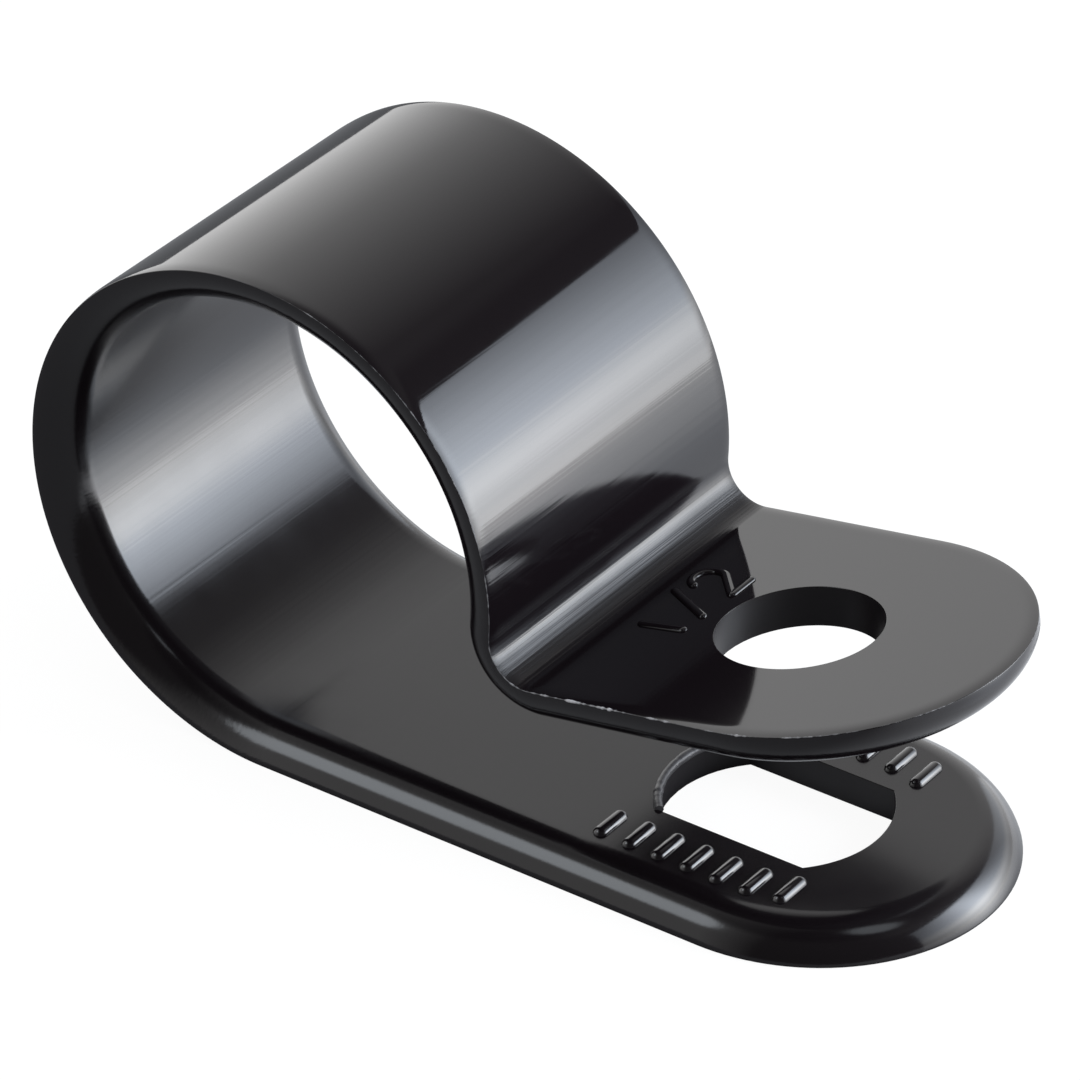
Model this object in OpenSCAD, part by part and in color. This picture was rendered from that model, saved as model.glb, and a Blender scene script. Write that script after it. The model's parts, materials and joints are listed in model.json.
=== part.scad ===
// Open cable clamp moulded in one piece: a flat base with a slot, a round loop for the cable,
// and a tab with a screw hole that is pressed down on the base when the clamp is fixed.
// Millimetres, +Z up. The origin is the slot's centre on the mounting face, the cable runs along Y
// and the strap runs along X from the loop to the tab.

/* [Strap] */
// Width of the strap
strap_w = 12.7; // [9:0.1:20]
// Thickness of the base, carried up the closed side of the loop
base_t = 1.15; // [0.8:0.05:1.4]
// Thickness of the loop's open side, the bend and the tab
tab_t = 1.4; // [1:0.05:2]
// Width of the rounding along every inner edge
edge_w = 1.4; // [1.35:0.05:2.2]
// Height left square on the base's side, below the rounding
edge_land = 0.1; // [0.05:0.05:0.4]

/* [Loop] */
// Bore of the loop as moulded, before it is closed on a cable
loop_d = 14.8; // [10:0.1:24]
// Radius of the bend between the loop and the tab, on its hollow face
bend_r = 1.2; // [0.8:0.1:2]

/* [Base] */
// Distance from the loop's axis to the slot's centre
slot_x = 14.95; // [13:0.05:22]
// Width between the slot's straight sides
slot_w = 5; // [4:0.1:6]
// Length of the slot between its round ends
slot_l = 7.25; // [6.2:0.05:8.5]
// Distance from the slot's centre to the centre of the base's round end
base_reach = 1.4; // [0:0.1:6]

/* [Tab] */
// Angle by which the open tab rises away from the base
tab_tilt = 10; // [4:0.5:14]
// Diameter of the screw hole
hole_d = 5.15; // [4:0.05:6]
// Distance from the loop's axis to the screw hole
hole_x = 15.65; // [14:0.05:22]
// Height of the hole's centre on the tab's top face
hole_z = 7.7; // [6.8:0.1:9]
// Distance along the tab from the hole to the centre of its round end
tab_reach = 1; // [0:0.1:6]

/* [Grip ribs] */
// Number of ribs on each side of the slot
rib_count = 7; // [1:1:8]
// Distance from rib to rib
rib_pitch = 1.06; // [0.8:0.02:1.2]
// Length of a rib
rib_l = 1.5; // [1:0.05:1.8]
// Width of a rib
rib_w = 0.5; // [0.3:0.05:0.6]
// Height of a rib above the base
rib_h = 0.2; // [0.1:0.02:0.24]
// Distance from the edge of the base's flat to a rib's outer end
rib_inset = 0.2; // [0.1:0.05:0.5]
// Distance of the row's middle from the slot's centre
rib_shift = -0.2; // [-0.5:0.05:0.5]

/* [Hidden] */
$fn = 96;
// Overshoot of the cutting solids, and wall that they take off the blank's inner side
over = 1;
spare = 0.5;
// Depth by which faces that run into each other cross, so that they meet in a clean line
lap = 0.01;
// Roundings of neighbouring stretches start this far apart, so that no four faces meet in one point
inner_w = strap_w - 2 * lap;
// Rounded edge: its depth, the radius that blends it into the inner face, and half of the flat between
edge_depth = base_t - edge_land;
edge_r = (pow(edge_w, 2) + pow(edge_depth, 2)) / (2 * edge_depth);
flat_half = strap_w / 2 - edge_w;
// Loop: its bore, the outside of its open side by the tab, and the outside of its closed side
loop_r = loop_d / 2;
loop_z = base_t - lap + loop_r;
open_r = loop_r + tab_t;
closed_r = (loop_z + open_r + lap) / 2;
closed_z = closed_r - lap;
// Bend: its axis keeps one radius from the loop's outside and one radius from the tab's top face
tab_along = [cos(tab_tilt), sin(tab_tilt)];
tab_normal = [-sin(tab_tilt), cos(tab_tilt)];
tab_hole = [hole_x, hole_z];
loop_axis = [0, loop_z];
bend_drop = (loop_axis - tab_hole) * tab_normal - bend_r;
axis_gap = open_r + bend_r;
bend_axis = loop_axis - bend_drop * tab_normal + sqrt(pow(axis_gap, 2) - pow(bend_drop, 2)) * tab_along;
bend_out_r = bend_r + lap;
bend_in_r = bend_r + tab_t + lap;
loop_end = atan2(bend_axis[1] - loop_z, bend_axis[0]);
bend_sweep = 90 + tab_tilt - loop_end;
// Loop and bend stop between the lines where their outer faces and their roundings cross the next stretch
loop_rim_r = loop_r + edge_depth;
bend_rim_r = bend_in_r - edge_depth;
loop_lap = (side_angle(open_r, axis_gap, bend_out_r) + side_angle(loop_rim_r, axis_gap, bend_rim_r)) / 2;
bend_lap = (acos(1 - lap / bend_out_r) + acos(1 - lap / bend_rim_r)) / 2;
// Base and tab start inside the wall before them, and their round ends reach just past the strap's sides
base_lap = sqrt(2 * loop_r * lap) / 2;
base_end = slot_x + base_reach;
tab_start = (bend_axis - tab_hole) * tab_along - bend_r / 2;
end_r = strap_w / 2 + lap;
// Radius of a rib's round back, and the depth of its axis below the base's top
rib_r = (pow(rib_w / 2, 2) + pow(rib_h, 2)) / (2 * rib_h);
rib_sink = rib_r - rib_h;

// Angle between sides a and b of a triangle, opposite its side c
function side_angle(a, b, c) = acos((a * a + b * b - c * c) / (2 * a * b));

// Half width of the base's flat at a distance along the base
function flat_at(x) = x < base_end ? flat_half : sqrt(pow(flat_half, 2) - pow(x - base_end, 2));

// Slice of a disc, from the X axis up to an angle
module slice(r, angle) {
    difference() {
        circle(r);
        translate([-2 * r, -4 * r]) square(4 * r);
        rotate(angle) translate([-2 * r, 0]) square(4 * r);
    }
}

// Side view of the strap with its true outer face, a filled loop and spare wall on the rest's inner side
module side_view() {
    difference() {
        union() {
            intersection() {
                translate([0, closed_z]) circle(closed_r);
                translate([-2 * closed_r, 0]) square([2 * closed_r, 3 * closed_r]);
            }
            translate(loop_axis) mirror([1, -1]) slice(open_r, 90 - loop_end + loop_lap);
            translate(bend_axis) rotate(180 + loop_end) slice(bend_in_r + spare, bend_sweep - bend_lap);
            translate([-base_lap, 0]) square([base_lap + base_end + end_r + over, base_t + spare]);
            translate(tab_hole) rotate(tab_tilt) translate([tab_start, -tab_t - spare])
                square([tab_reach + end_r + over - tab_start, tab_t + spare]);
        }
        translate(bend_axis) circle(bend_out_r);
    }
}

// Room above an inner face of width w, seen along the strap: the face is on the X axis, with rounded edges
module room_section(w, reach = over) {
    depth = (edge_depth + edge_r) / 2;
    flat_w = w - 2 * edge_w;
    difference() {
        translate([-w / 2 - over, -depth]) square([w + 2 * over, depth + reach]);
        translate([-flat_w / 2, -edge_r]) square([flat_w, edge_r]);
        for (side = [-1, 1]) translate([side * flat_w / 2, -edge_r]) circle(edge_r);
    }
}

// What lies right of the Y axis
module right_half() {
    intersection() {
        children();
        translate([0, -strap_w]) square([loop_d + strap_w, 2 * strap_w]);
    }
}

// Room above a straight stretch along X of thickness t, and round its round end
module straight_room(length, t, w) {
    rotate([90, 0, 90]) linear_extrude(length + 2 * end_r) room_section(w);
    translate([length, 0, 0]) rotate([0, 0, -90]) rotate_extrude(angle = 180) {
        right_half() room_section(2 * end_r);
        translate([end_r, -t - over]) square([end_r, t + 2 * over]);
    }
}

// Stands a shape of the side view, or one revolved about Z, upright about a point of the side view
module upright(point, turn = 0) {
    translate([point[0], 0, point[1]]) rotate([90, 0, 0]) rotate([0, 0, turn]) children();
}

// Room inside the loop, flared at both mouths
module loop_room() {
    upright(loop_axis) rotate_extrude() right_half()
        translate([loop_r, 0]) rotate(90) room_section(inner_w, loop_r + over);
}

// Room under the bend
module bend_room() {
    upright(bend_axis, 180 + loop_end) rotate_extrude(angle = bend_sweep)
        translate([bend_in_r, 0]) rotate(-90) room_section(strap_w);
}

// Room above the base
module base_room() {
    translate([0, 0, base_t]) straight_room(base_end, base_t, strap_w);
}

// Room under the tab
module tab_room() {
    translate([hole_x, 0, hole_z]) rotate([0, -tab_tilt, 0]) translate([tab_start, 0, -tab_t])
        mirror([0, 0, 1]) straight_room(tab_reach - tab_start, tab_t, inner_w);
}

// Slot with round ends and straight sides
module slot() {
    translate([slot_x, 0, -over]) linear_extrude(base_t + 2 * over) intersection() {
        circle(d = slot_l);
        square([slot_l + over, slot_w], center = true);
    }
}

// Upright screw hole, long enough to pass the tilted tab on both sides
module screw_hole() {
    rise = hole_d / 2 * tan(tab_tilt) + over / 2;
    depth = tab_t / cos(tab_tilt);
    translate([hole_x, 0, hole_z - depth - rise]) cylinder(d = hole_d, h = depth + 2 * rise);
}

// Low round rib across the strap
module rib() {
    rotate([-90, 0, 0]) translate([0, 0, rib_w / 2]) cylinder(r = rib_r, h = rib_l - rib_w);
    for (y = [rib_w / 2, rib_l - rib_w / 2]) translate([0, y, 0]) sphere(rib_r);
}

// Row of ribs beside the slot that follows the edge of the flat
module rib_row() {
    for (i = [0 : rib_count - 1]) {
        x = slot_x + rib_shift + (i - (rib_count - 1) / 2) * rib_pitch;
        translate([x, rib_inset - flat_at(x), base_t - rib_sink]) rib();
    }
}

module cable_clamp() {
    color("#1c1c1e") translate([-slot_x, 0, 0]) {
        difference() {
            upright([0, 0]) linear_extrude(strap_w, center = true) side_view();
            loop_room();
            bend_room();
            base_room();
            tab_room();
            slot();
            screw_hole();
        }
        for (side = [0, 1]) mirror([0, side, 0]) rib_row();
    }
}

cable_clamp();
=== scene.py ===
"""Cable clamp moulded in black nylon: strap, grip ribs, size mark and mould flash on a white studio stage."""

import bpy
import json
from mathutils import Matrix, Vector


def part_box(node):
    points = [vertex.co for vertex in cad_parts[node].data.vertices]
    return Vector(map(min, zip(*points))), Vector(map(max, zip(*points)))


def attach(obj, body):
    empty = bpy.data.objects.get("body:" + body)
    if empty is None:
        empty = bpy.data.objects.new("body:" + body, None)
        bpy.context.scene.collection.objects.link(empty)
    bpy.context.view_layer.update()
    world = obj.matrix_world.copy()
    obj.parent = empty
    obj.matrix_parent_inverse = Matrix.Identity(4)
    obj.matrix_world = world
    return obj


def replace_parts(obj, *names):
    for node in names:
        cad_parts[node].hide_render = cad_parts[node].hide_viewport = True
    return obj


bl_info = {
    "name": "Moulded Cable Clamp",
    "version": (1, 0, 0),
    "blender": (4, 5, 0),
    "location": "3D View > Sidebar > Cable Clamp",
    "description": "Builds the look of an open nylon cable clamp around its packed solid",
    "category": "Add Mesh",
}

import json
from math import asin, atan2, cos, pi, radians, sin, sqrt, tan

import bmesh
import bpy
import numpy as np
from bpy.props import FloatProperty, FloatVectorProperty, IntProperty, PointerProperty
from bpy.types import Operator, Panel, PropertyGroup
from mathutils import Euler, Matrix, Vector

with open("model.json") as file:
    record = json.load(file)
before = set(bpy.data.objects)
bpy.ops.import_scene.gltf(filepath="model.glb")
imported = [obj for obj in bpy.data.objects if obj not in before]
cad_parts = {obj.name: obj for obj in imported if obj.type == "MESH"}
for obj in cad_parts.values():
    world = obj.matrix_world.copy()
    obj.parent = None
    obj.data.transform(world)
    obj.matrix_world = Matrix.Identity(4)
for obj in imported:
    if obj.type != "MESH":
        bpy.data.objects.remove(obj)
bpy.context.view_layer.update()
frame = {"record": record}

MM = 0.001
CLAMP_LOW, CLAMP_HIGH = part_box("cable_clamp")
MOUNTS = {mount["name"]: mount for mount in frame["record"]["mounts"]}
LOOP = MOUNTS["cable_loop"]
HOLE = MOUNTS["screw_hole"]
BODY = "root"

# Directions of the part's frame
ALONG = np.array([1.0, 0.0, 0.0])
ACROSS = np.array([0.0, 1.0, 0.0])
UP = np.array([0.0, 0.0, 1.0])

# Steps round each end of the strap
END_STEPS = 60

# Finishes of the moulded skin: polished by the cavity, off the core, dulled on the base, dragged by a pin
CAVITY = 0.0
CORE = 1.0
DULL = 2.0
PIN = 3.0

# Azimuth of the key light, from +Y towards +X
KEY_AZIMUTH = 50.0


def colour(hexa):
    """Linear colour of an sRGB hex value."""
    parts = [int(hexa[i : i + 2], 16) / 255 for i in (1, 3, 5)]
    return [c / 12.92 if c <= 0.04045 else ((c + 0.055) / 1.055) ** 2.4 for c in parts]


def tint(hexa, level=1.0):
    """Opaque linear colour of an sRGB hex value, scaled to a level."""
    return (*(level * part for part in colour(hexa)), 1.0)


def length(name, description, millimetres, signed=False):
    """Property for a size in millimetres, or for a place, which may be negative."""
    least = -1.0 if signed else 0.0
    return FloatProperty(
        name=name, description=description, default=millimetres * MM, min=least, precision=5, unit="LENGTH"
    )


def angle(name, description, degrees):
    """Property for an angle that is stated in degrees."""
    return FloatProperty(name=name, description=description, default=radians(degrees), subtype="ANGLE")


class StrapSizes(PropertyGroup):
    """Sizes of the strap that forms the base, the loop, the bend and the tab."""

    width: length("Width", "Width of the strap", (CLAMP_HIGH.y - CLAMP_LOW.y) / MM)
    loop_r: length("Loop radius", "Radius of the loop's bore", LOOP["dims"]["r_mm"])
    loop_lean: angle("Loop lean", "Turn of the inner face on the loop's closed side, off its true round", 2.8)
    tab_wall: length("Tab wall", "Thickness of the loop's open side, the bend and the tab", 1.4)
    edge_w: length("Edge width", "Width of the rounding along every inner edge", 1.4)
    edge_depth: length("Edge depth", "Depth of the rounding along every inner edge", 1.05)
    corner: length("Corner", "Radius of the fine rounding at sharp moulded corners", 0.025)
    roll_w: length("Roll-off width", "Width over which the outer face falls off towards its edge", 0.55)
    roll_h: length("Roll-off height", "Height by which the outer face falls off at its edge", 0.035)
    bend_r: length("Bend radius", "Radius of the bend on its hollow face", 1.2)
    slot_w: length("Slot width", "Width between the slot's straight sides", 5.0)
    slot_l: length("Slot length", "Length of the slot between its round ends", 7.25)
    base_reach: length("Base reach", "From the slot's centre to the centre of the base's round end", 1.4)
    tab_tilt: angle("Tab tilt", "Angle by which the open tab rises", 10.0)
    hole_r: length("Hole radius", "Radius of the screw hole", HOLE["dims"]["r_mm"])
    tab_reach: length("Tab reach", "From the hole to the centre of the tab's round end", 1.0)
    frame_margin: length("Frame margin", "Plain stretch between a hole and its ring of faces", 1.0)


class RibSizes(PropertyGroup):
    """Sizes of the grip ribs beside the slot."""

    count: IntProperty(name="Count", description="Number of ribs on each side", default=7, min=1)
    pitch: length("Pitch", "Distance from rib to rib", 1.06)
    rib_l: length("Length", "Length of a rib", 1.5)
    rib_w: length("Width", "Width of a rib", 0.5)
    rib_h: length("Height", "Height of a rib above the base", 0.2)
    inset: length("Inset", "From the edge of the base's flat to a rib's outer end", 0.2)
    shift: length("Shift", "Distance of the row's middle from the slot", -0.2, signed=True)


class MarkSizes(PropertyGroup):
    """Sizes of the raised size number on the tab."""

    height: length("Height", "Height of a figure", 1.8)
    figure_w: length("Figure width", "Width of the broad figure", 1.2)
    foot: length("Foot", "From the hole's centre to the foot of the figures", 3.17)
    stroke_w: length("Stroke width", "Width of a raised stroke", 0.3)
    stroke_h: length("Stroke height", "Height of a raised stroke", 0.1)


class FlashSizes(PropertyGroup):
    """Sizes of the fine flash that the mould leaves along its parting edges."""

    bead: length("Bead", "Largest radius of the flash along the strap's edge", 0.05)
    lip: length("Lip", "Radius of the lip at the slot's end", 0.18)
    patch: length("Patch", "Length of a patch of flash", 0.9)
    lump: length("Lump", "Length of a lump in a patch", 0.16)
    step: length("Step", "Distance between the sections of the flash", 0.03)
    seed: IntProperty(name="Seed", description="Seed of the patches", default=4)


class NylonLook(PropertyGroup):
    """Finish of the moulded nylon."""

    colour: FloatVectorProperty(
        name="Colour", description="Colour of the nylon", subtype="COLOR", size=3, default=colour("#130f12")
    )
    # Colour of the painted highlight on the flash
    torn: FloatVectorProperty(
        name="Torn", description="Colour of torn flash", subtype="COLOR", size=3, default=colour("#d0d0d4")
    )
    cavity: FloatProperty(
        name="Cavity side", description="Roughness of the polished outer face", default=0.05, subtype="FACTOR"
    )
    core: FloatProperty(
        name="Core side", description="Roughness of the duller inner face", default=0.14, subtype="FACTOR"
    )
    line_spacing: length("Line spacing", "Mean distance between tool lines", 0.15)
    line_run: length("Line run", "Mean length of a tool line", 40.0)
    line_depth: length("Line depth", "Depth of the tool lines", 0.012)
    haze: length("Haze", "Size of the duller patches on the skin", 2.5)


class StudioSettings(PropertyGroup):
    """Place of the camera, the floor and the soft lights."""

    azimuth: angle("Azimuth", "Turn of the camera about the part", 35.485)
    elevation: angle("Elevation", "Height of the camera above the floor, as an angle", 32.547)
    distance: length("Distance", "Distance from the camera to its target", 224.88)
    target_x: length("Target X", "Target of the camera", -8.851, signed=True)
    target_z: length("Target Z", "Target of the camera", 7.259, signed=True)
    lens: FloatProperty(
        name="Lens", description="Focal length in millimetres", default=244.96, subtype="DISTANCE_CAMERA"
    )
    floor_r: length("Floor radius", "Radius of the round floor", 310.0)
    floor_shift: length("Floor shift", "Distance of the floor's centre towards the key light", 200.0)
    key_distance: length("Key distance", "Distance of the key light", 115.0)
    lamp_distance: length("Lamp distance", "Distance of the other soft lights", 450.0)


class ClampSettings(PropertyGroup):
    """All settings of the clamp."""

    strap: PointerProperty(type=StrapSizes)
    ribs: PointerProperty(type=RibSizes)
    mark: PointerProperty(type=MarkSizes)
    flash: PointerProperty(type=FlashSizes)
    nylon: PointerProperty(type=NylonLook)
    studio: PointerProperty(type=StudioSettings)


def node(tree, kind, inputs=None, **settings):
    """Adds a node with its settings, and gives its inputs a value, a socket or a node's first output."""
    made = tree.nodes.new(kind)
    for name, value in settings.items():
        setattr(made, name, value)
    for socket, source in (inputs or {}).items():
        if isinstance(source, bpy.types.Node):
            source = source.outputs[0]
        if isinstance(source, bpy.types.NodeSocket):
            tree.links.new(source, made.inputs[socket])
        else:
            made.inputs[socket].default_value = source
    return made


def add_object(name, data):
    """Links a new object that holds the data."""
    made = bpy.data.objects.new(name, data)
    bpy.context.scene.collection.objects.link(made)
    return made


def add_piece(name, mesh):
    """Links a finished piece of the clamp and gives it its body."""
    piece = add_object(name, mesh)
    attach(piece, BODY)
    return piece


def start_tree(name, values):
    """Geometry tree with an input for each named value, and the outputs of its input node."""
    kinds = {int: "NodeSocketInt", float: "NodeSocketFloat", bpy.types.Material: "NodeSocketMaterial"}
    tree = bpy.data.node_groups.new(name, "GeometryNodeTree")
    tree.interface.new_socket("Geometry", in_out="INPUT", socket_type="NodeSocketGeometry")
    for label, value in values.items():
        tree.interface.new_socket(label, in_out="INPUT", socket_type=kinds[type(value)])
    tree.interface.new_socket("Geometry", in_out="OUTPUT", socket_type="NodeSocketGeometry")
    return tree, node(tree, "NodeGroupInput").outputs


def end_tree(tree, geometry, material):
    """Ends a tree with real, smooth faces that wear the material."""
    real = node(tree, "GeometryNodeRealizeInstances", {"Geometry": geometry})
    smooth = node(tree, "GeometryNodeSetShadeSmooth", {"Geometry": real})
    dressed = node(tree, "GeometryNodeSetMaterial", {"Geometry": smooth, "Material": material})
    node(tree, "NodeGroupOutput", {"Geometry": dressed})


def grow(name, source, tree, values):
    """Plain mesh that a tree makes from a source mesh with the named values."""
    carrier = add_object(name, source)
    modifier = carrier.modifiers.new(name, "NODES")
    modifier.node_group = tree
    for item in tree.interface.items_tree:
        if item.in_out == "INPUT" and item.name in values:
            modifier[item.identifier] = values[item.name]
    evaluated = carrier.evaluated_get(bpy.context.evaluated_depsgraph_get())
    mesh = bpy.data.meshes.new_from_object(evaluated)
    bpy.data.objects.remove(carrier)
    if not mesh.polygons:
        raise RuntimeError(name + " has no faces")
    return mesh


def paths(name, lines):
    """Mesh of open lines of points."""
    points = np.concatenate(lines)
    starts = np.cumsum([0] + [len(line) for line in lines])
    edges = [(i, i + 1) for a, b in zip(starts, starts[1:]) for i in range(a, b - 1)]
    mesh = bpy.data.meshes.new(name)
    mesh.from_pydata(points.tolist(), edges, [])
    return mesh


def even_path(tree, given):
    """Curves along the source's lines, with points at even steps."""
    path = node(tree, "GeometryNodeMeshToCurve", {"Mesh": given["Geometry"]})
    return node(tree, "GeometryNodeResampleCurve", {"Curve": path, "Length": given["Step"]}, mode="LENGTH")


def sweep(tree, path, radius, girth, sides):
    """Round bars along a path, with closed ends, whose radius is scaled by the girth."""
    disc = node(tree, "GeometryNodeCurvePrimitiveCircle", {"Resolution": sides, "Radius": radius})
    bar = {"Curve": path, "Profile Curve": disc.outputs["Curve"], "Scale": girth, "Fill Caps": True}
    return node(tree, "GeometryNodeCurveToMesh", bar)


def press_flat(tree, geometry, x, y, z, bury):
    """Moves the points of a raised form, and cuts it flat just below the face that it stands on."""
    floor = node(tree, "ShaderNodeMath", {0: 0.0, 1: bury}, operation="SUBTRACT")
    height = node(tree, "ShaderNodeMath", {0: z, 1: floor}, operation="MAXIMUM")
    place = node(tree, "ShaderNodeCombineXYZ", {"X": x, "Y": y, "Z": height})
    return node(tree, "GeometryNodeSetPosition", {"Geometry": geometry, "Position": place})


# Strap: side view

class SideView:
    """Places in the strap's side view that follow from its sizes, as points of X and Z."""

    def __init__(self, s):
        loop_pos = LOOP["pos_m"]
        hole_pos = HOLE["pos_m"]
        self.base_wall = loop_pos[2] - s.loop_r
        self.loop_axis = np.array([loop_pos[0], loop_pos[2]])
        self.open_r = s.loop_r + s.tab_wall
        self.closed_r = (loop_pos[2] + self.open_r) / 2
        self.closed_axis = np.array([loop_pos[0], self.closed_r])
        self.tab_along = np.array([cos(s.tab_tilt), sin(s.tab_tilt)])
        self.tab_normal = np.array([-sin(s.tab_tilt), cos(s.tab_tilt)])
        self.hole_top = np.array([hole_pos[0], hole_pos[2] + s.tab_wall / cos(s.tab_tilt) / 2])
        drop = (self.loop_axis - self.hole_top) @ self.tab_normal - s.bend_r
        gap = self.open_r + s.bend_r
        run = sqrt(gap * gap - drop * drop)
        self.bend_axis = self.loop_axis - drop * self.tab_normal + run * self.tab_along
        to_bend = self.bend_axis - self.loop_axis
        self.loop_end = atan2(to_bend[1], to_bend[0])
        self.tab_start = (self.bend_axis - self.hole_top) @ self.tab_along
        self.flat_half = s.width / 2 - s.edge_w


def stretch(inner, normal, wall, finish, inner_lines, outer_lines, back=None):
    """Stations of a stretch.

    They are the inner face, its normals, the outer normals, the wall, the finish and both faces' tool lines.
    """
    inner = np.asarray(inner, float)
    normal = np.broadcast_to(normal, inner.shape)
    back = -normal if back is None else back
    shares = [np.broadcast_to(part, len(inner)) for part in (wall, finish, inner_lines, outer_lines)]
    return [inner, normal, back, *shares]


def straight(start, stop, count):
    """Evenly spaced distances that leave out the last one."""
    return np.linspace(start, stop, count, endpoint=False)


def round_points(angles):
    """Unit vectors of the side view at the angles."""
    return np.stack([np.cos(angles), np.sin(angles)], 1)


def strap_stations(s, view):
    """Stations from the base's end to the tab's end, and the two between which the strap isn't pierced."""
    # Distances along the base are from the slot's centre, and along the tab from the hole's centre
    base_ring = -s.slot_l / 2 - s.frame_margin
    tab_ring = -s.hole_r / cos(s.tab_tilt) - s.frame_margin - s.tab_wall * tan(s.tab_tilt)
    # Shares of tool lines: on the base, inside the loop and under the tab, inside the bend, outside the loop
    base_lines = 0.1
    inner_lines = 0.3
    bend_lines = 0.5
    closed_lines = 0.05

    def base(distances):
        heights = np.full(len(distances), view.base_wall)
        inner = np.stack([distances, heights], 1)
        return stretch(inner, (0.0, 1.0), view.base_wall, DULL, base_lines, 0.0)

    def tab(distances):
        inner = view.hole_top - s.tab_wall * view.tab_normal + distances[:, None] * view.tab_along
        return stretch(inner, -view.tab_normal, s.tab_wall, CORE, inner_lines, 0.0)

    def closed_side():
        turns = straight(-pi / 2, -3 * pi / 2, count=100)
        rays = round_points(turns)
        offset = view.loop_axis - view.closed_axis
        lean = rays @ offset
        reach = -lean + np.sqrt(lean**2 - offset @ offset + view.closed_r**2)
        outer = view.loop_axis + rays * reach[:, None]
        back = (outer - view.closed_axis) / view.closed_r
        # The base's dull finish runs out a little way up this side
        finish = np.interp(turns, [-0.57 * pi, -pi / 2], [CORE, DULL])
        # The loop isn't quite round: the middle of this side faces a little further up
        share = np.interp(turns / pi, [-1.45, -1.15, -0.78, -0.5], [0.0, 1.0, 1.0, 0.0])
        facing = -round_points(turns + s.loop_lean * share**2 * (3 - 2 * share))
        inner = view.loop_axis + rays * s.loop_r
        return stretch(inner, facing, reach - s.loop_r, finish, inner_lines, closed_lines, back)

    def open_side():
        turns = straight(pi / 2, view.loop_end, count=56)
        rays = round_points(turns)
        # The outer tool lines grow towards the bend, and are strongest in its hollow
        lines = np.interp(turns, [0.2, 0.5, 0.9], [0.45, 0.25, closed_lines])
        return stretch(view.loop_axis + rays * s.loop_r, -rays, s.tab_wall, CORE, inner_lines, lines)

    def bend():
        turns = straight(view.loop_end + pi, 1.5 * pi + s.tab_tilt, count=32)
        rays = round_points(turns)
        lines = np.interp(turns / pi, [1.16, 1.21, 1.36, 1.55], [0.9, 2.4, 2.4, 0.6])
        inner = view.bend_axis + rays * (s.bend_r + s.tab_wall)
        return stretch(inner, rays, s.tab_wall, CORE, bend_lines, lines)

    pierced_base = base(straight(s.base_reach, base_ring, count=24))
    plain = [
        base(straight(base_ring, view.loop_axis[0], count=24)),
        closed_side(),
        open_side(),
        bend(),
        tab(straight(view.tab_start, tab_ring, count=6)),
    ]
    pierced_tab = tab(np.linspace(tab_ring, s.tab_reach, num=16))
    stations = [np.concatenate(parts) for parts in zip(pierced_base, *plain, pierced_tab)]
    first = len(pierced_base[0])
    last = first + sum(len(part[0]) for part in plain)
    return stations, first, last


# Strap: mesh

def lift(points):
    """Points of the side view as points in space, in the strap's middle plane."""
    points = np.atleast_2d(points)
    return np.stack([points[:, 0], np.zeros(len(points)), points[:, 1]], 1)


class StrapMesh:
    """Vertices, their normals and faces of the strap, gathered row by row."""

    def __init__(self):
        self.points = []
        self.normals = []
        self.skins = []
        self.faces = []
        self.count = 0

    def row(self, points, normals, finish, lines):
        """Adds a row of vertices with their finish and share of tool lines, and returns their numbers."""
        points = np.atleast_2d(points)
        self.points.append(points)
        self.normals.append(np.broadcast_to(normals, points.shape))
        self.skins.append(np.stack([np.broadcast_to(part, len(points)) for part in (finish, lines)], 1))
        numbers = np.arange(self.count, self.count + len(points))
        self.count += len(points)
        return numbers

    def place(self, numbers):
        """Places of the numbered vertices."""
        return np.concatenate(self.points)[numbers]

    def band(self, one, other, closed=False):
        """Joins two rows of vertices with faces."""
        count = len(one)
        for i in range(count if closed else count - 1):
            j = (i + 1) % count
            self.faces.append((one[i], one[j], other[j], other[i]))

    def mesh(self, name):
        """Blender mesh with smooth faces, turned outwards, and the true normals of the form."""
        made = bpy.data.meshes.new(name)
        made.from_pydata(np.concatenate(self.points).tolist(), [], [tuple(map(int, f)) for f in self.faces])
        shell = bmesh.new()
        shell.from_mesh(made)
        bmesh.ops.recalc_face_normals(shell, faces=shell.faces)
        shell.to_mesh(made)
        shell.free()
        made.shade_smooth()
        normals = np.concatenate(self.normals)
        normals /= np.linalg.norm(normals, axis=1)[:, None]
        made.normals_split_custom_set_from_vertices(normals.tolist())
        for label, shares in zip(("finish", "tool_lines"), np.concatenate(self.skins).T):
            made.attributes.new(label, "FLOAT", "POINT").data.foreach_set("value", shares.astype(np.float32))
        return made


def rim_stations(view, stations):
    """Stations along the whole edge of the strap: near side, tab's end, far side and base's end."""
    inner, normal, back, *shares = stations

    def side(sign, order):
        out = np.broadcast_to(sign * ACROSS, (len(inner), 3))
        root = lift(inner) + view.flat_half * out
        return [part[order] for part in (root, out, lift(normal), lift(back), *shares)]

    def end(k, along, flip):
        turns = np.linspace(-pi / 2, pi / 2, END_STEPS + 2)[1:-1] * flip
        out = np.cos(turns)[:, None] * along + np.sin(turns)[:, None] * ACROSS
        root = lift(inner[k]) + view.flat_half * out
        up = np.broadcast_to(lift(normal[k]), out.shape)
        return [root, out, up, -up] + [np.full(END_STEPS, share[k]) for share in shares]

    tab_end = end(-1, lift(view.tab_along)[0], 1)
    base_end = end(0, ALONG, -1)
    forth = np.arange(len(inner))
    parts = [side(-1, forth), tab_end, side(1, forth[::-1]), base_end]
    return [np.concatenate(part) for part in zip(*parts)]


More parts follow.
